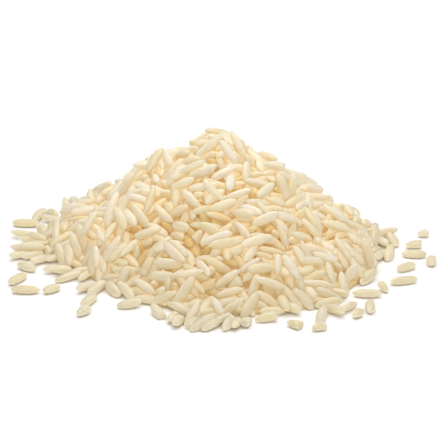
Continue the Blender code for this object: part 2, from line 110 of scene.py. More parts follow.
# The poured shell of grains, the thin skirt round its foot, and the gaps to the table and to the strays
SEED = 7
GRAIN_COUNT = 1700
SHELL_DEPTH = 0.0062
POUR_ABOVE = 0.0025
POUR_REACH = 0.056
STEEPEST = 1.6
LOWEST_MIDDLE = 0.0008
SKIRT_DROP = 0.0014
SKIRT_SHARE = 0.3
SKIRT_HEIGHTS = (0.0009, 0.0016)
SKIRT_SLOPE = 0.001
DOWNHILL_SHARE = 0.35
DOWNHILL_SPREAD = 0.6
LEAN_SPREAD = 0.25
ROLL_SPREAD = 0.45
TABLE_GAP = 0.00005
STRAY_GAP = 0.0004

# The settling: its steps and how far grains sink in each, how firmly they are pressed apart, which pairs
# are looked at and how often, and the grid of the outline's heights
SETTLE_STEPS = 320
SINK = 0.00004
REST_STEPS = 15
FADE_STEPS = 80
CROWD_SHARE = 0.45
MOUND_PUSH = 0.8
PAIRS_EVERY = 8
PAIR_SLACK = 0.0006
PAIR_REACH = 0.0034
INNER_SHARE = 0.8
GRID_CELL = 0.001
GRID_REACH = 0.066
SLOPE_STEP = 0.0001

# How many cells inside the grid's last line a place is held, the decimals that values are rounded to, and
# at how many places from tip to tip a grain is kept over the table
GRID_EDGE = 1.001
DECIMALS = 8
TIP_TO_TIP_CHECKS = 21

# Floors that keep a division or a root from failing: a slope, a squared sine and a squared distance
LEAST_SLOPE = 1e-9
LEAST_SINE_SQUARED = 1e-6
LEAST_DISTANCE_SQUARED = 1e-14

# A grain's skin: how blunt it is and how square its section, its ridges as their number and height, the
# level that it bends about, its twist, where along it the germ's notch lies, how deep that cuts and how
# far it moves the tip aside, and how rough and slanted a broken end is and how its rings draw in
BODY_POWER = 2.7
SECTION_POWER = 2.35
RIDGES = ((3, 0.018), (5, 0.012))
BEND_LEVEL = 0.35
TWIST = 0.25
GERM_ENDS = (0.60, 0.92)
GERM_DEPTHS = (0.10, 0.55)
GERM_POWER = 1.5
TIP_OFFSET = 0.16
FRACTURE_ROUGHNESS = 0.00006
FRACTURE_SLANT = 0.30
SLANT_ENDS = (0.3, 1.0)
FRACTURE_RINGS = (0.96, 0.62, 0.28)

# How a grain's colour varies: its chalk's spread, place and edges, and its share of the kind's gold, which
# is painted shade for the grains below the outer layers
CHALK_SPREAD = 0.18
CHALK_PLACE_SPREAD = 0.3
CHALK_EDGES = (0.25, 0.75)
GOLD_FACTORS = (0.6, 1.4)

# The finish reads a grain's own points in millimetres, each grain's moved by up to this much
MILLIMETRES = 1000
PATTERN_SHIFT = 100

# How far the pieces stay inside the box of the solids
BOX_MARGIN = 0.0001

# How finely grains are made: rings along and sides around, in the outer layers, below them, and strays
OUTER_FINENESS = (18, 16)
UNDER_FINENESS = (9, 9)
STRAY_FINENESS = (26, 22)
UNDER_DEPTH = 0.0034

# Where the heap's front begins, measured from its peak, and where it is full
FRONT_FROM = -0.006
FRONT_TO = -0.020

# Hollows: the share of outer grains that are missing at the back and at the front, how deep the outer
# grains lie, and how high over the table the hollows end
HOLLOWS_BACK = 0.02
HOLLOWS_FRONT = 0.20
OUTER_DEPTH = 0.0017
HOLLOWS_ABOVE = 0.003

# The core under the grains, and the waves of its bumps, each as radians a metre and phase
CORE_DEPTH = 0.0042
CORE_RINGS = 36
CORE_SEGMENTS = 96
CORE_LOWEST = 0.0006
CORE_BUMP = 0.0004
CORE_WAVE_X = (2600, 1.3)
CORE_WAVE_Y = (2900, 0.4)

# Linear colours of the grain. Golden and the deep gold are also painted shade, deep in the heap and on the
# core
IVORY = (0.817, 0.711, 0.517)
PALE = (0.840, 0.750, 0.605)
WARM = (0.797, 0.678, 0.439)
GOLDEN = (0.754, 0.621, 0.351)
CHALK = (0.855, 0.783, 0.682)
DEEP_GOLD_AND_SHADE = (0.655, 0.465, 0.195)

# Painted shade of the gaps: how much more golden and darker grains are painted with depth, between which
# depths, and the share of that at the back
DEPTH_SHADE = 0.46
SHADE_DEPTHS = (0.0012, 0.0045)
BACK_SHADE = 0.35

# Painted shade on the grains near the table, a darker colour: how strong it is, and the heights between
# which it fades
FOOT_SHADE = (0.740, 0.645, 0.455)
FOOT_SHADE_SHARE = 0.60
FOOT_SHADE_HEIGHTS = (0.0010, 0.0080)

# The rice's patterns: each one's scale and detail, and between which of its values it takes effect
STREAK_STRETCH = (0.35, 2.2, 2.2)
STREAK_DETAIL = 3.0
STREAK_VALUES = (0.50, 0.80)
STREAK_WARMTH = 0.22
CLOUD_SCALE = 0.55
CLOUD_VALUES = (0.3, 0.7)
CLOUD_TONES = (-0.25, 0.25)
CHALK_VALUES = (0.35, 0.60)
GRIT_SCALE = 6.0
GRIT_DETAIL = 4.0
GRIT_VALUES = (0.3, 0.7)
GRIT_HEIGHT = 0.25

# Where a tip begins and ends along half a grain, and how much warmer it gets
TIP_ENDS = (0.72, 1.0)
TIP_WARMTH = 0.45

# Between which tones a grain turns from warm to ivory and on to pale, and between which values of its gold,
# which carries painted shade deep in the heap, it turns golden and on to deep gold
TO_IVORY = (0.0, 0.5)
TO_PALE = (0.5, 1.0)
TO_GOLDEN = (0.0, 0.6)
TO_DEEP = (0.5, 1.0)

# The rice's surface: its roughness where the grit is low and high, its glow and its relief
RICE_ROUGHNESSES = (0.34, 0.48)
GLOW_RADII = (1.0, 0.92, 0.78)
GLOW_REACH = 0.0030
RICE_IOR = 1.45
RICE_RELIEF = (0.00008, 0.5)

# The core's patches of painted shade, and its surface
PATCH_SCALE = 600.0
PATCH_DETAIL = 3.0
PATCH_VALUES = (0.35, 0.65)
CORE_ROUGHNESS = 0.6
CORE_RELIEF = (0.0005, 0.6)

# The kinds of grain: the share of the outer grains, how pointed the tips are, the girth, how much the bend
# varies, how often the germ's notch shows, the tones from warm to pale, and how chalky and golden they are
Kind = namedtuple("Kind", "name share points girth bend germ tone chalk gold")
KINDS = (
    Kind("slender", 0.26, (0.56, 0.82), 0.92, 0.030, 0.7, (0.45, 0.75), 0.15, 0.00),
    Kind("plump", 0.24, (0.46, 0.68), 0.98, 0.020, 0.6, (0.35, 0.70), 0.20, 0.00),
    Kind("bent", 0.18, (0.50, 0.78), 0.93, 0.065, 0.8, (0.40, 0.75), 0.15, 0.02),
    Kind("pale", 0.20, (0.48, 0.76), 0.94, 0.030, 0.7, (0.70, 0.95), 0.60, 0.00),
    Kind("golden", 0.12, (0.50, 0.76), 0.93, 0.030, 0.7, (0.15, 0.45), 0.05, 0.10),
)
BROKEN_KIND = Kind("broken", 0.0, (0.52, 0.70), 0.95, 0.010, 0.0, (0.20, 0.90), 0.30, 0.05)
# The grains below the outer layers get their gold as painted shade
UNDER_KIND = Kind("under", 0.0, (0.56, 0.74), 0.98, 0.020, 0.0, (0.20, 0.70), 0.10, 0.45)

# Strays: below this length a stray is a broken grain. The numbered ones have a tone or a gold of their own.
BROKEN_STRAY_LENGTH = 0.0042
STRAY_KIND = Kind("stray", 0.0, (0.52, 0.68), 1.00, 0.030, 0.6, (0.30, 0.80), 0.20, 0.10)
STRAY_TONES = {1: 0.15, 5: 0.25, 7: 0.95, 15: 0.90}
STRAY_GOLDS = {1: 0.35, 5: 0.30, 18: 0.85}

# The view: the camera looks along +Y, down on the heap
CAMERA_TARGET = (-0.0002, 0.0020, 0.0072)
CAMERA_DISTANCE = 0.55
CAMERA_ELEVATION = 21.0
VIEW_WIDTH = 0.102
SENSOR_WIDTH = 36.0

# The light, and the table
FLOOR_SIZE = 3.0
FLOOR_COLOUR = (0.95, 0.95, 0.95)
FLOOR_ROUGHNESS = 0.9
FLOOR_SHINE = 0.2
SKY_LIGHT = 0.18
SKY_SEEN = 1.05

# Each lamp: the azimuth that it shines from, in degrees round from the front to the right, its elevation,
# its distance in metres, or none for a sun, its width in metres, or in degrees for a sun, the light that it
# adds to a white surface that faces it, whether it casts shadows, and what it lights
LAMPS = (
    ("top_light", 180.0, 80.0, 0.20, 0.22, 0.22, True, "rice"),
    ("top_fill", 180.0, 80.0, 0.20, 0.22, 0.31, False, "rice"),
    ("front_light", 5.0, 35.0, None, 35.0, 0.235, True, "all"),
    ("front_fill", 0.0, 30.0, None, 60.0, 0.06, False, "rice"),
    ("right_fill", 90.0, 25.0, None, 60.0, 0.10, False, "rice"),
    ("back_fill", 180.0, 40.0, None, 60.0, 0.10, False, "rice"),
    ("left_fill", 270.0, 25.0, None, 60.0, 0.07, False, "rice"),
    ("table_light", 0.0, 90.0, None, 80.0, 0.80, True, "table"),
)
LIGHT_BOUNCES = 12


# Heap outline

def foot_radius(angle):
    """Distance from the peak to the heap's foot in one direction."""
    steps = len(FOOT_RADII)
    place = (angle / (2 * math.pi) % 1.0) * steps
    low = int(place) % steps
    share = place - int(place)
    share = share * share * (3 - 2 * share)
    return FOOT_RADII[low] * (1 - share) + FOOT_RADII[(low + 1) % steps] * share


def outline_height(x, y):
    """Height of the heap's outline over the table, below zero outside its foot."""
    reach = math.hypot(x, y) / foot_radius(math.atan2(y, x))
    edge = math.sqrt(1 + PEAK_ROUNDING**2)
    share = (edge - math.sqrt(reach**2 + PEAK_ROUNDING**2)) / (edge - PEAK_ROUNDING)
    if share < 0:
        return HEAP_HEIGHT * share
    return HEAP_HEIGHT * share**FLANK_POWER + min(share / LUMP_FADE, 1.0) * lumps(x, y)


def lumps(x, y):
    """How far the flank stands above or below its smooth form."""
    rise = 0.0
    for length, direction, phase, height in LUMPS:
        way = math.radians(direction)
        rise += height * math.sin(2 * math.pi / length * (x * math.cos(way) + y * math.sin(way)) + phase)
    return rise


def outline_slope(x, y):
    step = SLOPE_STEP
    height = outline_height(x, y)
    return (outline_height(x + step, y) - height) / step, (outline_height(x, y + step) - height) / step


def slope_size(slope_x, slope_y):
    """How far a slope rises and runs in all for one unit across."""
    return math.sqrt(1 + slope_x**2 + slope_y**2)


def outline_grid():
    """The outline's height on a square grid, rounded so that it is the same everywhere."""
    ticks = [-GRID_REACH + i * GRID_CELL for i in range(int(round(2 * GRID_REACH / GRID_CELL)) + 1)]
    return np.round([[outline_height(x, y) for y in ticks] for x in ticks], DECIMALS)


# Vectors, one in each row

def dot(p, q):
    return p[:, 0] * q[:, 0] + p[:, 1] * q[:, 1] + p[:, 2] * q[:, 2]


def unit(p):
    return p / np.sqrt(dot(p, p))[:, None]


def across(direction, axis):
    """The part of a direction that is square to an axis."""
    return direction - axis * dot(direction, axis)[:, None]


def distance_and_way(apart):
    """How long each vector is, and the unit vector along it."""
    distance = np.sqrt(np.maximum(dot(apart, apart), LEAST_DISTANCE_SQUARED))
    return distance, apart / distance[:, None]


def upward(count):
    return np.tile((0.0, 0.0, 1.0), (count, 1))


def outward(grid, place):
    """Depth below the outline, and the outline's outward direction, at each place."""
    u = np.clip((place[:, 0] + GRID_REACH) / GRID_CELL, 0, len(grid) - GRID_EDGE)
    v = np.clip((place[:, 1] + GRID_REACH) / GRID_CELL, 0, len(grid) - GRID_EDGE)
    i = u.astype(int)
    j = v.astype(int)
    a = u - i
    b = v - j
    low, right, back, far = grid[i, j], grid[i + 1, j], grid[i, j + 1], grid[i + 1, j + 1]
    height = low * (1 - a) * (1 - b) + right * a * (1 - b) + back * (1 - a) * b + far * a * b
    slope_x = ((right - low) * (1 - b) + (far - back) * b) / GRID_CELL
    slope_y = ((back - low) * (1 - a) + (far - right) * a) / GRID_CELL
    steep = np.clip(height / FOOT_FADE_HEIGHT, 0, 1)
    normal = unit(np.stack([-slope_x * steep, -slope_y * steep, np.ones_like(steep)], axis=1))
    return (height - place[:, 2]) * normal[:, 2], normal


# Grains

class Grains:
    """Loose grains, each made from a row: its middle, its long axis, half its length, half its width, half
    its thickness, its roll, and the share of its length that is left."""

    def __init__(self, rows):
        place, axis, half, wide, thick, roll, left = zip(*rows)
        self.place = np.round(place, DECIMALS)
        self.axis = unit(np.round(axis, DECIMALS))
        self.half = np.round(half, DECIMALS)
        self.wide = np.round(wide, DECIMALS)
        self.thick = np.round(thick, DECIMALS)
        self.roll = np.round([(math.cos(r), math.sin(r)) for r in roll], DECIMALS)
        self.left = np.array(left)
        self.flat = None

    def picked(self, chosen):
        """Some of the grains, as a lot of their own."""
        some = Grains.__new__(Grains)
        for name, values in vars(self).items():
            setattr(some, name, values[chosen])
        return some

    @classmethod
    def joined(cls, first, second):
        """Two lots of grains as one."""
        both = cls.__new__(cls)
        for name in vars(first):
            setattr(both, name, np.concatenate([getattr(first, name), getattr(second, name)]))
        return both

    def turn_flat_side(self, normal):
        """Lays each grain's flat side to the slope, but for its own roll."""
        side = unit(np.cross(self.axis, normal))
        flat = np.cross(side, self.axis)
        self.flat = unit(flat * self.roll[:, :1] + side * self.roll[:, 1:])

    def reach(self, which, along, way):
        """How far the skin lies from the axis, in one direction, at a place along the grain."""
        square = across(way, self.axis[which])
        squared = dot(square, square)
        flat = dot(square, self.flat[which])
        wide_part = self.wide[which] ** 2 * np.maximum(squared - flat * flat, 0)
        radius = np.sqrt((self.thick[which] * flat) ** 2 + wide_part)
        tip = TIP_THICKNESS_SHARE * self.thick[which] * np.maximum(1 - squared, 0)
        return radius * girth(along / self.half[which]) + tip


def girth(share):
    """A grain's radius as a share of its middle's, at a share of its half length."""
    return np.sqrt(np.maximum(1 - share * share, TIP_GIRTH_SQUARED))


def limited_gauss(draw, spread, limits):
    return min(max(draw.gauss(1, spread), limits[0]), limits[1])


def grain_heading(draw, slope_x, slope_y):
    """A grain's long axis: near the slope's plane, and a third of them roughly downhill."""
    size = slope_size(slope_x, slope_y)
    steep = math.hypot(slope_x, slope_y) + LEAST_SLOPE
    normal = (-slope_x / size, -slope_y / size, 1 / size)
    down = (-slope_x / steep / size, -slope_y / steep / size, -steep / size)
    side = (slope_y / steep, -slope_x / steep, 0.0)
    turn = draw.gauss(0, DOWNHILL_SPREAD) if draw.random() < DOWNHILL_SHARE else draw.uniform(0, math.pi)
    lean = draw.gauss(0, LEAN_SPREAD)
    level = [d * math.cos(turn) + s * math.sin(turn) for d, s in zip(down, side)]
    return [p * math.cos(lean) + n * math.sin(lean) for p, n in zip(level, normal)]


def grain_size(draw):
    """Half length, half width and half thickness of one grain, and the share of its length that is left."""
    length = GRAIN_LENGTH * limited_gauss(draw, LENGTH_SPREAD, LENGTH_LIMITS)
    left = 1.0
    if draw.random() < BROKEN_SHARE:
        left = draw.uniform(*BROKEN_LENGTHS)
        length *= left
    plump = limited_gauss(draw, GIRTH_SPREAD, GIRTH_LIMITS)
    thick = GRAIN_THICKNESS * plump * draw.uniform(*FLATNESS_LIMITS) / 2
    return length / 2, GRAIN_WIDTH * plump / 2, thick, left


def pour(draw):
    """Scatters loose grains evenly through the shell, and thinly on the table round its foot."""
    rows = []
    while len(rows) < GRAIN_COUNT:
        x = draw.uniform(-POUR_REACH, POUR_REACH)
        y = draw.uniform(-POUR_REACH, POUR_REACH)
        height = outline_height(x, y)
        skirt = height < 0
        if height < -SKIRT_DROP or (skirt and draw.random() > SKIRT_SHARE):
            continue
        slope_x, slope_y = outline_slope(x, y)
        size = slope_size(slope_x, slope_y)
        if draw.random() > size / STEEPEST:
            continue
        z = height - draw.uniform(-POUR_ABOVE, SHELL_DEPTH) * size
        if skirt:
            z = draw.uniform(*SKIRT_HEIGHTS)
            slope_x = slope_y = SKIRT_SLOPE
        if z < LOWEST_MIDDLE:
            continue
        axis = grain_heading(draw, slope_x, slope_y)
        half, wide, thick, left = grain_size(draw)
        rows.append(((x, y, z), axis, half, wide, thick, draw.gauss(0, ROLL_SPREAD), left))
    return Grains(rows)


# Settling

def near_pairs(grains):
    """Pairs of grains that lie close enough to touch, found through a grid of cells."""
    place = grains.place
    cell = 2 * float(grains.half.max()) + PAIR_SLACK
    spot = np.floor((place - place.min(axis=0)) / cell).astype(np.int64) + 1
    size = spot.max(axis=0) + 2
    key = (spot[:, 0] * size[1] + spot[:, 1]) * size[2] + spot[:, 2]
    order = np.argsort(key, kind="stable")
    ranked = key[order]
    firsts, seconds = [], []
    steps = (-1, 0, 1)
    for shift in [(i * size[1] + j) * size[2] + k for i in steps for j in steps for k in steps]:
        start = np.searchsorted(ranked, key + shift, "left")
        count = np.searchsorted(ranked, key + shift, "right") - start
        first = np.repeat(np.arange(len(place)), count)
        offset = np.arange(len(first)) - np.repeat(np.cumsum(count) - count, count)
        second = order[np.repeat(start, count) + offset]
        keep = first < second
        firsts.append(first[keep])
        seconds.append(second[keep])
    first, second = np.concatenate(firsts), np.concatenate(seconds)
    *_, apart = closest(grains, first, second)
    keep = dot(apart, apart) < PAIR_REACH**2
    return first[keep], second[keep]


def closest(grains, i, j):
    """Where along two grains' inner lengths they come closest, and how the second lies from the first."""
    gap = grains.place[j] - grains.place[i]
    axis_i, axis_j = grains.axis[i], grains.axis[j]
    limit_i, limit_j = grains.half[i] * INNER_SHARE, grains.half[j] * INNER_SHARE
    turn = dot(axis_i, axis_j)
    on_i = dot(gap, axis_i)
    on_j = dot(gap, axis_j)
    spread = np.maximum(1 - turn * turn, LEAST_SINE_SQUARED)
    along_i = (on_i - turn * on_j) / spread
    along_j = (turn * on_i - on_j) / spread
    over_i = np.abs(along_i) - limit_i
    over_j = np.abs(along_j) - limit_j
    inside = (over_i <= 0) & (over_j <= 0)
    end_i = np.clip(along_i, -limit_i, limit_i)
    end_j = np.clip(along_j, -limit_j, limit_j)
    from_i = np.clip(end_i * turn - on_j, -limit_j, limit_j)
    from_j = np.clip(end_j * turn + on_i, -limit_i, limit_i)
    along_i = np.where(inside, along_i, np.where(over_i >= over_j, end_i, from_j))
    along_j = np.where(inside, along_j, np.where(over_i >= over_j, from_i, end_j))
    return along_i, along_j, gap + axis_j * along_j[:, None] - axis_i * along_i[:, None]


def press_apart(grains, pairs, turn_mass):
    """Moves and turns grains that overlap away from each other."""
    i, j = pairs
    along_i, along_j, apart = closest(grains, i, j)
    distance, way = distance_and_way(apart)
    over = grains.reach(i, along_i, way) + grains.reach(j, along_j, way) - distance
    hit = over > 0
    i, j, way, along_i, along_j, over = i[hit], j[hit], way[hit], along_i[hit], along_j[hit], over[hit]
    square_i = across(way, grains.axis[i])
    square_j = across(way, grains.axis[j])
    weight_i = 1 + along_i**2 * dot(square_i, square_i) / turn_mass[i]
    weight_j = 1 + along_j**2 * dot(square_j, square_j) / turn_mass[j]
    push = over / (weight_i + weight_j)
    count = len(grains.place)
    touches = np.bincount(i, minlength=count) + np.bincount(j, minlength=count)
    share = 1.0 / np.maximum(1.0, touches * CROWD_SHARE)
    move = np.zeros((count, 3))
    turn = np.zeros((count, 3))
    for k in range(3):
        move[:, k] = np.bincount(j, way[:, k] * push, count) - np.bincount(i, way[:, k] * push, count)
        turn_j = square_j[:, k] * push * along_j / turn_mass[j]
        turn_i = square_i[:, k] * push * along_i / turn_mass[i]
        turn[:, k] = np.bincount(j, turn_j, count) - np.bincount(i, turn_i, count)
    grains.place = grains.place + move * share[:, None]
    grains.axis = unit(grains.axis + turn * share[:, None])


def press_out(grains, along, way, over, turn_mass):
    """Moves and turns grains one way, by how far each is over a limit at a place along it."""
    square = across(way, grains.axis)
    push = over / (1 + along**2 * dot(square, square) / turn_mass)
    grains.place = grains.place + way * push[:, None]
    grains.axis = unit(grains.axis + square * (push * along / turn_mass)[:, None])


def settle(grains, grid):
    """Lets the grains sink onto the hidden mound, each other and the table."""
    everyone = np.arange(len(grains.place))
    up = upward(len(everyone))
    turn_mass = (grains.half**2 + grains.wide**2) / 5
    for step in range(SETTLE_STEPS):
        _, normal = outward(grid, grains.place)
        fade = (SETTLE_STEPS - REST_STEPS - step) / FADE_STEPS
        grains.place = grains.place - normal * (SINK * min(1.0, max(0.0, fade)))
        grains.turn_flat_side(normal)
        if step % PAIRS_EVERY == 0:
            pairs = near_pairs(grains)
        press_apart(grains, pairs, turn_mass)
        for share in (-INNER_SHARE, 0.0, INNER_SHARE):
            along = grains.half * share
            depth, normal = outward(grid, grains.place + grains.axis * along[:, None])
            over = np.maximum(depth + grains.reach(everyone, along, normal) - SHELL_DEPTH, 0)
            press_out(grains, along, normal, MOUND_PUSH * over, turn_mass)
            height = grains.place[:, 2] + grains.axis[:, 2] * along
            over = np.maximum(grains.reach(everyone, along, up) - height, 0)
            press_out(grains, along, up, over, turn_mass)


def lift_onto_table(grains):
    """Raises the few grains that still dip below the table."""
    lowest = np.full(len(grains.place), 1.0)
    side = np.cross(grains.axis, grains.flat)
    drop = np.sqrt((grains.wide * side[:, 2]) ** 2 + (grains.thick * grains.flat[:, 2]) ** 2)
    for share in np.linspace(-1, 1, TIP_TO_TIP_CHECKS):
        height = grains.place[:, 2] + grains.axis[:, 2] * grains.half * share
        lowest = np.minimum(lowest, height - drop * girth(share))
    grains.place[:, 2] += np.maximum(TABLE_GAP - lowest, 0)


def clear_of(grains, others, gap):
    """Which grains keep a gap to all the others."""
    both = Grains.joined(grains, others)
    count = len(grains.place)
    clear = np.ones(count, dtype=bool)
    i = np.arange(count)
    for other in range(count, len(both.place)):
        j = np.full(count, other)
        along_i, along_j, apart = closest(both, i, j)
        distance, way = distance_and_way(apart)
        clear &= distance > both.reach(i, along_i, way) + both.reach(j, along_j, way) + gap
    return clear


def front_share(grains):
    """How far toward the front each grain lies: 0 at the peak and behind it, 1 where the front is full."""
    return np.clip((FRONT_FROM - grains.place[:, 1]) / (FRONT_FROM - FRONT_TO), 0, 1)


def in_hollow(grains, grid, draw):
    """Which of the outer grains are missing: more of them at the front."""
    depth, _ = outward(grid, grains.place)
    share = HOLLOWS_BACK + (HOLLOWS_FRONT - HOLLOWS_BACK) * front_share(grains)
    missing = draw.random(len(depth)) < share
    return missing & (depth < OUTER_DEPTH) & (grains.place[:, 2] > HOLLOWS_ABOVE)


# Grain shapes

def smooth_step(value, low, high):
    share = np.clip((value - low) / (high - low), 0, 1)
    return share * share * (3 - 2 * share)


class Skins:
    """How each grain of a lot differs in shape and colour from a plain spindle."""

    def __init__(self, draw, grains, kind):
        count = len(grains.half)
        self.points = draw.uniform(*kind.points, (count, 2))
        self.bend = draw.normal(0, kind.bend, count)
        self.germ_end = draw.choice([-1.0, 1.0], count)
        self.germ_side = draw.choice([-1.0, 1.0], count)
        self.germ_depth = draw.uniform(*GERM_DEPTHS, count) * (draw.random(count) < kind.germ)
        self.ridge_turns = draw.uniform(0, 2 * math.pi, (len(RIDGES), count))
        self.twist = draw.normal(0, TWIST, count)
        self.slant = draw.normal(0, FRACTURE_SLANT, count)
        self.tone = draw.uniform(*kind.tone, count)
        self.gold = kind.gold * draw.uniform(*GOLD_FACTORS, count)
        self.chalk = np.clip(draw.normal(kind.chalk, CHALK_SPREAD, count), 0, 1)
        self.chalk_place = draw.normal(0, CHALK_PLACE_SPREAD, count)
        self.shift = draw.uniform(0, 1, (count, 3))
        self.girth = kind.girth


def ring_plan(rings, broken):
    """Places of a grain's rings from its first tip to its last end, and how far each is drawn in."""
    if not broken:
        return -np.cos(math.pi * np.arange(1, rings + 1) / (rings + 1)), np.ones(rings)
    body = 1 - 2 * np.cos(math.pi / 2 * np.arange(1, rings + 1) / rings)
    places = np.concatenate([body, [1.0] * len(FRACTURE_RINGS)])
    return places, np.concatenate([np.ones(rings), FRACTURE_RINGS])


def grain_points(grains, skins, fineness, draw, broken):
    """Points of each grain, its rings' and then its ends, and how far along the whole grain each lies."""
    count = len(grains.half)
    places, drawn_in = ring_plan(fineness[0], broken)
    turns = 2 * math.pi * (np.arange(fineness[1]) + 0.5) / fineness[1]
    x = places[None, :, None]
    turn = turns[None, None, :] + (skins.twist[:, None] * places)[:, :, None]
    column = (slice(None), None, None)
    whole_x = np.broadcast_to(x, (count, len(places), 1))
    if broken:
        whole_x = (x + 1) * grains.left[column] - 1
    point = np.where(whole_x < 0, skins.points[:, 0][column], skins.points[:, 1][column])
    body = np.maximum(1 - np.abs(whole_x) ** BODY_POWER, 0)
    radius = body**point * skins.girth * drawn_in[None, :, None]
    cosine, sine = np.cos(turn), np.sin(turn)
    section = (np.abs(cosine) ** SECTION_POWER + np.abs(sine) ** SECTION_POWER) ** (-1 / SECTION_POWER)
    for (ridges, height), ridge_turn in zip(RIDGES, skins.ridge_turns):
        section = section * (1 + height * np.cos(ridges * turn + ridge_turn[column]))
    near_germ = smooth_step(x * skins.germ_end[column], *GERM_ENDS)
    toward_germ = np.maximum(cosine * skins.germ_side[column], 0) ** GERM_POWER
    notch = 1 - skins.germ_depth[column] * near_germ * toward_germ
    offset = skins.bend * grains.half
    sideways = offset[column] * (whole_x**2 - BEND_LEVEL)
    aside = TIP_OFFSET * skins.germ_depth * skins.germ_side * grains.wide
    sideways = sideways - aside[column] * near_germ
    wide = grains.wide[column] * radius * section * cosine * notch + sideways
    thick = grains.thick[column] * radius * section * sine * notch
    along = np.broadcast_to(grains.half[column] * x, wide.shape)
    if broken:
        rough = draw.normal(0, FRACTURE_ROUGHNESS, wide.shape) * (drawn_in < 1)[None, :, None]
        along = along + rough + skins.slant[column] * wide * smooth_step(x, *SLANT_ENDS)
    ends = np.zeros((count, 2, 3))
    ends[:, :, 0] = np.stack([-grains.half, grains.half], axis=1)
    ends[:, :, 1] = sideways[:, (0, -1), 0]
    whole_ends = np.ones((count, 2)) * (-1, 1)
    if broken:
        whole_ends[:, 1] = 2 * grains.left - 1
    local = np.stack([along, wide, thick], axis=-1).reshape(count, -1, 3)
    whole = np.broadcast_to(whole_x, wide.shape).reshape(count, -1)
    return np.concatenate([local, ends], axis=1), np.concatenate([whole, whole_ends], axis=1)


def to_world(grains, local):
    """Turns each grain's own points into places of the frame."""
    side = np.cross(grains.axis, grains.flat)
    turned = local[:, :, :1] * grains.axis[:, None] + local[:, :, 1:2] * side[:, None]
    turned = turned + local[:, :, 2:] * grains.flat[:, None]
    return turned + grains.place[:, None] + (*PEAK_PLACE, 0.0)


def keep_in_box(points, low, high):
    """Slides each grain that reaches past the box, or into the table, back in."""
    under = np.maximum(low - points.min(axis=1), 0)
    over = np.maximum(points.max(axis=1) - high, 0)
    return points + (under - over)[:, None]


def ring_faces(start, rings, sides):
    """Corners of the four-sided faces between rings of points that begin at the start point."""
    k = np.arange(sides)
    after = (k + 1) % sides
    low = (start + np.arange(rings - 1) * sides)[:, None]
    return np.stack([low + k, low + sides + k, low + sides + after, low + after], axis=-1).reshape(-1, 4)


def end_faces(start, rings, sides, first, last):
    """Corners of the three-sided faces that close the rings at their first and their last end."""
    k = np.arange(sides)
    after = (k + 1) % sides
    first_fan = np.stack([np.full(sides, first), start + k, start + after], axis=-1)
    low = start + (rings - 1) * sides
    last_fan = np.stack([np.full(sides, last), low + after, low + k], axis=-1)
    return np.concatenate([first_fan, last_fan])


def grain_faces(rings, sides, count):
    """Corners of all the faces of a lot of grains."""
    points = rings * sides
    quads = ring_faces(0, rings, sides)
    triangles = end_faces(0, rings, sides, points, points + 1)
    steps = np.arange(count)[:, None, None] * (points + 2)
    return (quads + steps).reshape(-1, 4), (triangles + steps).reshape(-1, 3)


def mesh_from_arrays(name, points, quads, triangles, values):
    """A smooth mesh, with the named values at its points."""
    mesh = bpy.data.meshes.new(name)
    mesh.vertices.add(len(points))
    mesh.vertices.foreach_set("co", points.ravel())
    corners = np.concatenate([quads.ravel(), triangles.ravel()])
    mesh.loops.add(len(corners))
    mesh.loops.foreach_set("vertex_index", corners)
    starts = np.concatenate([np.arange(len(quads)) * 4, quads.size + np.arange(len(triangles)) * 3])
    mesh.polygons.add(len(starts))
    mesh.polygons.foreach_set("loop_start", starts)
    mesh.update(calc_edges=True)
    mesh.shade_smooth()
    for key, value in values.items():
        vector = value.ndim == 2
        layer = mesh.attributes.new(key, "FLOAT_VECTOR" if vector else "FLOAT", "POINT")
        layer.data.foreach_set("vector" if vector else "value", value.ravel())
    return mesh


def put_in_scene(name, data):
    thing = bpy.data.objects.new(name, data)
    bpy.context.scene.collection.objects.link(thing)
    return thing


def grain_piece(name, grains, kind, fineness, draw, box, depth_shade=0.0):
    """One mesh of all the grains of a kind."""
    broken = kind.name == "broken"
    skins = Skins(draw, grains, kind)
    local, whole = grain_points(grains, skins, fineness, draw, broken)
    points = keep_in_box(to_world(grains, local), *box)
    count, each = whole.shape
    rings = fineness[0] + (len(FRACTURE_RINGS) if broken else 0)
    quads, triangles = grain_faces(rings, fineness[1], count)
    # Each grain's own gold, plus the painted shade of its depth
    gold = np.clip(skins.gold + depth_shade, 0, 1)
    from_chalk = np.abs(whole - skins.chalk_place[:, None])
    chalk = skins.chalk[:, None] * (1 - smooth_step(from_chalk, *CHALK_EDGES))
    grain_space = local * MILLIMETRES + skins.shift[:, None] * PATTERN_SHIFT
    values = {
        "tone": np.repeat(skins.tone, each),
        "gold": np.repeat(gold, each),
        "chalk": chalk.ravel(),
        "along": whole.ravel(),
        "grain_space": grain_space.reshape(-1, 3),
    }
    return put_in_scene(name, mesh_from_arrays(name, points.reshape(-1, 3), quads, triangles, values))


# Finishes

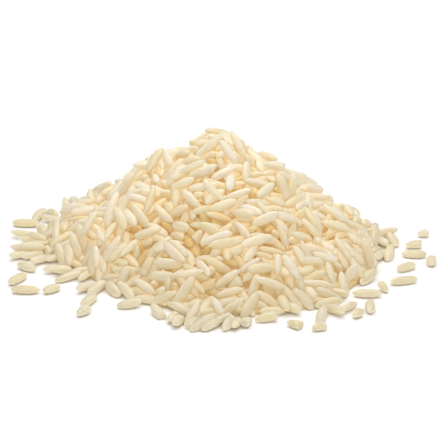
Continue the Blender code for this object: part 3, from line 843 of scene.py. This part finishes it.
class Finish:
    """A material's nodes, added one at a time round its shader."""

    def __init__(self, name):
        self.material = bpy.data.materials.new(name)
        self.material.use_nodes = True
        self.tree = self.material.node_tree
        self.shader = self.tree.nodes["Principled BSDF"]

    def put(self, socket, value):
        if isinstance(value, bpy.types.NodeSocket):
            self.tree.links.new(value, socket)
        elif socket.type == "RGBA" and len(value) == 3:
            socket.default_value = (*value, 1.0)
        else:
            socket.default_value = value

    def add(self, kind, inputs, **settings):
        node = self.tree.nodes.new(kind)
        for key, value in settings.items():
            setattr(node, key, value)
        for key, value in inputs.items():
            self.put(node.inputs[key], value)
        return node

    def attribute(self, name, output="Fac"):
        return self.add("ShaderNodeAttribute", {}, attribute_name=name).outputs[output]

    def math(self, operation, first, second):
        return self.add("ShaderNodeMath", {0: first, 1: second}, operation=operation).outputs[0]

    def ramp(self, value, low, high, to_low=0.0, to_high=1.0):
        """A value from one range in another, held at its ends."""
        inputs = {"Value": value, "From Min": low, "From Max": high, "To Min": to_low, "To Max": to_high}
        return self.add("ShaderNodeMapRange", inputs).outputs["Result"]

    def mix(self, share, first, second):
        inputs = {0: share, 6: first, 7: second}
        return self.add("ShaderNodeMix", inputs, data_type="RGBA").outputs[2]

    def noise(self, vector, scale, detail=2.0):
        inputs = {"Vector": vector, "Scale": scale, "Detail": detail}
        return self.add("ShaderNodeTexNoise", inputs).outputs["Fac"]

    def scaled(self, vector, scale):
        return self.add("ShaderNodeVectorMath", {0: vector, 1: scale}, operation="MULTIPLY").outputs[0]

    def bump(self, height, distance, strength):
        inputs = {"Height": height, "Distance": distance, "Strength": strength}
        return self.add("ShaderNodeBump", inputs).outputs["Normal"]

    def set(self, **values):
        for key, value in values.items():
            self.put(self.shader.inputs[key.replace("_", " ")], value)


def rice_finish(name):
    """Translucent ivory rice, warmer at the tips, with painted shade that is golden deep in the heap and
    darker near the table, and chalky inside some grains.
    """
    finish = Finish(name)
    space = finish.attribute("grain_space", "Vector")
    streaks = finish.noise(finish.scaled(space, STREAK_STRETCH), 1.0, STREAK_DETAIL)
    cloud = finish.noise(space, CLOUD_SCALE)
    grit = finish.noise(space, GRIT_SCALE, GRIT_DETAIL)
    cloud_tone = finish.ramp(cloud, *CLOUD_VALUES, *CLOUD_TONES)
    tone = finish.math("ADD", finish.attribute("tone"), cloud_tone)
    colour = finish.mix(finish.ramp(tone, *TO_IVORY), WARM, IVORY)
    colour = finish.mix(finish.ramp(tone, *TO_PALE), colour, PALE)
    chalk = finish.math("MULTIPLY", finish.attribute("chalk"), finish.ramp(cloud, *CHALK_VALUES))
    colour = finish.mix(chalk, colour, CHALK)
    from_middle = finish.math("ABSOLUTE", finish.attribute("along"), 0.0)
    colour = finish.mix(finish.ramp(from_middle, *TIP_ENDS, 0.0, TIP_WARMTH), colour, WARM)
    colour = finish.mix(finish.ramp(streaks, *STREAK_VALUES, 0.0, STREAK_WARMTH), colour, WARM)
    # A grain's own gold plus the painted shade deep in the heap turn it golden and on to deep gold
    gold = finish.attribute("gold")
    colour = finish.mix(finish.ramp(gold, *TO_GOLDEN), colour, GOLDEN)
    colour = finish.mix(finish.ramp(gold, *TO_DEEP), colour, DEEP_GOLD_AND_SHADE)
    # Painted shade: darker near the table
    place = finish.add("ShaderNodeTexCoord", {}).outputs["Object"]
    height = finish.add("ShaderNodeSeparateXYZ", {"Vector": place}).outputs["Z"]
    colour = finish.mix(finish.ramp(height, *FOOT_SHADE_HEIGHTS, FOOT_SHADE_SHARE, 0.0), colour, FOOT_SHADE)
    relief = finish.math("ADD", streaks, finish.math("MULTIPLY", grit, GRIT_HEIGHT))
    finish.set(
        Base_Color=colour,
        Roughness=finish.ramp(grit, *GRIT_VALUES, *RICE_ROUGHNESSES),
        Subsurface_Weight=1.0,
        Subsurface_Radius=GLOW_RADII,
        Subsurface_Scale=GLOW_REACH,
        IOR=RICE_IOR,
        Normal=finish.bump(relief, *RICE_RELIEF),
    )
    return finish.material


def core_finish():
    """The grains that lie too deep to be told apart, painted in patches of deep gold and golden as the
    shade deep in the heap.
    """
    finish = Finish("rice_core")
    place = finish.add("ShaderNodeTexCoord", {}).outputs["Object"]
    patches = finish.noise(place, PATCH_SCALE, PATCH_DETAIL)
    finish.set(
        Base_Color=finish.mix(finish.ramp(patches, *PATCH_VALUES), DEEP_GOLD_AND_SHADE, GOLDEN),
        Roughness=CORE_ROUGHNESS,
        Normal=finish.bump(patches, *CORE_RELIEF),
    )
    return finish.material


def floor_finish():
    finish = Finish("table")
    finish.set(Base_Color=FLOOR_COLOUR, Roughness=FLOOR_ROUGHNESS, Specular_IOR_Level=FLOOR_SHINE)
    return finish.material


# Pieces

def in_slot(piece, material, slot, *nodes):
    """Finishes a piece of the object and puts it in the place of its solids."""
    piece.data.materials.append(material)
    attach(piece, "root")
    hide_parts(*nodes)


def stray_from(node):
    """A stray grain's row, up to its roll. Its tips are the two points of its solid furthest apart."""
    corners = np.array([vertex.co for vertex in node.data.vertices], dtype=float)
    gaps = ((corners[:, None] - corners[None]) ** 2).sum(axis=2)
    low, high = np.unravel_index(gaps.argmax(), gaps.shape)
    start, end = sorted((corners[low].tolist(), corners[high].tolist()))
    middle = (np.array(start) + end) / 2 - (*PEAK_PLACE, 0.0)
    half = math.dist(start, end) / 2
    axis = (np.array(end) - start) / (2 * half)
    return tuple(middle), tuple(axis), half, GRAIN_WIDTH / 2, GRAIN_THICKNESS / 2, 0.0


def stray_grains():
    names = sorted(name for name in frame["nodes"] if name.startswith("stray_grain"))
    rows = []
    for name in names:
        row = stray_from(frame["nodes"][name])
        length = 2 * row[2]
        left = length / GRAIN_LENGTH if length < BROKEN_STRAY_LENGTH else 1.0
        rows.append((*row, left))
    grains = Grains(rows)
    grains.turn_flat_side(upward(len(rows)))
    return names, grains


def build_strays(names, strays, material, draw, box):
    for index, name in enumerate(names):
        number = index + 1
        kind = STRAY_KIND
        tone = STRAY_TONES.get(number)
        if tone is not None:
            kind = kind._replace(tone=(tone, tone))
        kind = kind._replace(gold=STRAY_GOLDS.get(number, kind.gold))
        if strays.left[index] < 1:
            kind = kind._replace(name="broken", germ=0.0)
        stray = strays.picked([index])
        piece = grain_piece(f"loose_{name}", stray, kind, STRAY_FINENESS, draw, box)
        in_slot(piece, material, "stray_rice", name)


def wave(place, rate, phase):
    return math.sin(rate * place + phase)


def build_core(material):
    """A mound under the grains, as high as the lowest of them."""
    angles = 2 * math.pi * np.arange(CORE_SEGMENTS) / CORE_SEGMENTS
    points = [(0.0, 0.0, outline_height(0, 0) - CORE_DEPTH)]
    for ring in range(1, CORE_RINGS + 1):
        for angle in angles:
            radius = ring / CORE_RINGS * (foot_radius(angle) - CORE_DEPTH)
            x, y = radius * math.cos(angle), radius * math.sin(angle)
            slope_x, slope_y = outline_slope(x, y)
            size = slope_size(slope_x, slope_y)
            bump = CORE_BUMP * wave(x, *CORE_WAVE_X) * wave(y, *CORE_WAVE_Y)
            points.append((x, y, max(outline_height(x, y) - CORE_DEPTH * size + bump, CORE_LOWEST)))
    points += [(x, y, TABLE_GAP) for x, y, _ in points[-CORE_SEGMENTS:]]
    points.append((0.0, 0.0, TABLE_GAP))
    rings = CORE_RINGS + 1
    quads = ring_faces(1, rings, CORE_SEGMENTS)
    triangles = end_faces(1, rings, CORE_SEGMENTS, 0, len(points) - 1)
    places = np.array(points) + (*PEAK_PLACE, 0.0)
    core = put_in_scene("rice_core", mesh_from_arrays("rice_core", places, quads, triangles, {}))
    in_slot(core, material, "rice", "rice_heap")


def build_heap(grains, grid, material, draw, box):
    """The heap's grains, a piece for each kind, and the ones below them."""
    depth, _ = outward(grid, grains.place)
    # Painted shade: deeper grains, and more so toward the front, are painted more golden and darker
    toward_front = BACK_SHADE + (1 - BACK_SHADE) * front_share(grains)
    depth_shades = DEPTH_SHADE * toward_front * smooth_step(depth, *SHADE_DEPTHS)
    under = depth > UNDER_DEPTH
    broken = ~under & (grains.left < 1)
    lots = [(UNDER_KIND, under, UNDER_FINENESS), (BROKEN_KIND, broken, OUTER_FINENESS)]
    lot = draw.random(len(depth))
    start = 0.0
    for kind in KINDS:
        chosen = ~under & ~broken & (lot >= start) & (lot < start + kind.share)
        lots.append((kind, chosen, OUTER_FINENESS))
        start += kind.share
    for kind, chosen, fineness in lots:
        some = grains.picked(chosen)
        piece = grain_piece(f"grains_{kind.name}", some, kind, fineness, draw, box, depth_shades[chosen])
        in_slot(piece, material, "rice", "rice_heap")


# The table, the light and the view

def build_stage():
    half = FLOOR_SIZE / 2
    corners = [(-half, -half, 0), (half, -half, 0), (half, half, 0), (-half, half, 0)]
    mesh = bpy.data.meshes.new("table")
    mesh.from_pydata(corners, [], [(0, 1, 2, 3)])
    floor = put_in_scene("table", mesh)
    mesh.materials.append(floor_finish())


def build_sky():
    """A white sky that the camera sees brighter than it lights the rice."""
    world = bpy.data.worlds.new("white_studio")
    world.use_nodes = True
    nodes = world.node_tree.nodes
    seen = nodes.new("ShaderNodeLightPath").outputs["Is Camera Ray"]
    strength = nodes.new("ShaderNodeMapRange")
    strength.inputs["To Min"].default_value = SKY_LIGHT
    strength.inputs["To Max"].default_value = SKY_SEEN
    world.node_tree.links.new(seen, strength.inputs["Value"])
    world.node_tree.links.new(strength.outputs["Result"], nodes["Background"].inputs["Strength"])
    nodes["Background"].inputs["Color"].default_value = (1.0, 1.0, 1.0, 1.0)
    bpy.context.scene.world = world


def build_lamp(name, azimuth, elevation, distance, width, light, shadows):
    """A round lamp at its distance, or a sun, as strong as the light that it has to add needs."""
    source = bpy.data.lights.new(name, "AREA" if distance else "SUN")
    if distance:
        source.shape = "DISK"
        source.size = width
        source.energy = light * math.pi**2 * (distance**2 + width**2 / 4)
    else:
        source.angle = math.radians(width)
        source.energy = light * math.pi
    source.use_shadow = shadows
    source.cycles.use_multiple_importance_sampling = shadows
    lamp = put_in_scene(name, source)
    turn, rise = math.radians(azimuth), math.radians(elevation)
    way = (math.sin(turn) * math.cos(rise), -math.cos(turn) * math.cos(rise), math.sin(rise))
    lamp.location = [(distance or 1.0) * part for part in way]
    aim(lamp, (0.0, 0.0, 0.0))
    return lamp


def build_light():
    build_sky()
    lit = {"rice": bpy.data.collections.new("lit_rice"), "table": bpy.data.collections.new("lit_table")}
    for piece in bpy.context.scene.objects:
        if piece.type == "MESH" and not piece.hide_render:
            lit["table" if piece.name == "table" else "rice"].objects.link(piece)
    for *values, target in LAMPS:
        lamp = build_lamp(*values)
        if target in lit:
            lamp.light_linking.receiver_collection = lit[target]
    bpy.context.scene.view_settings.view_transform = "Standard"
    bpy.context.scene.cycles.diffuse_bounces = LIGHT_BOUNCES


def aim(thing, target):
    way = Vector(target) - thing.location
    thing.rotation_mode = "QUATERNION"
    thing.rotation_quaternion = way.to_track_quat("-Z", "Y")


def build_camera():
    lens = bpy.data.cameras.new("camera")
    lens.sensor_fit = "HORIZONTAL"
    lens.sensor_width = SENSOR_WIDTH
    lens.lens = SENSOR_WIDTH * CAMERA_DISTANCE / VIEW_WIDTH
    camera = put_in_scene("camera", lens)
    tilt = math.radians(CAMERA_ELEVATION)
    x, y, z = CAMERA_TARGET
    camera.location = (x, y - CAMERA_DISTANCE * math.cos(tilt), z + CAMERA_DISTANCE * math.sin(tilt))
    aim(camera, CAMERA_TARGET)
    bpy.context.scene.camera = camera


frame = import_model()
cad_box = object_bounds()
inner_box = np.array(cad_box[0]) + BOX_MARGIN, np.array(cad_box[1]) - BOX_MARGIN
inner_box[0][2] = TABLE_GAP
build_camera()
outline = outline_grid()
rice = pour(random.Random(SEED))
settle(rice, outline)
lift_onto_table(rice)
chance = np.random.default_rng(SEED)
rice = rice.picked(~in_hollow(rice, outline, chance))
stray_names, loose = stray_grains()
rice = rice.picked(clear_of(rice, loose, STRAY_GAP))
build_heap(rice, outline, rice_finish("rice"), chance, inner_box)
build_core(core_finish())
build_strays(stray_names, loose, rice_finish("stray_rice"), chance, inner_box)
build_stage()
build_light()
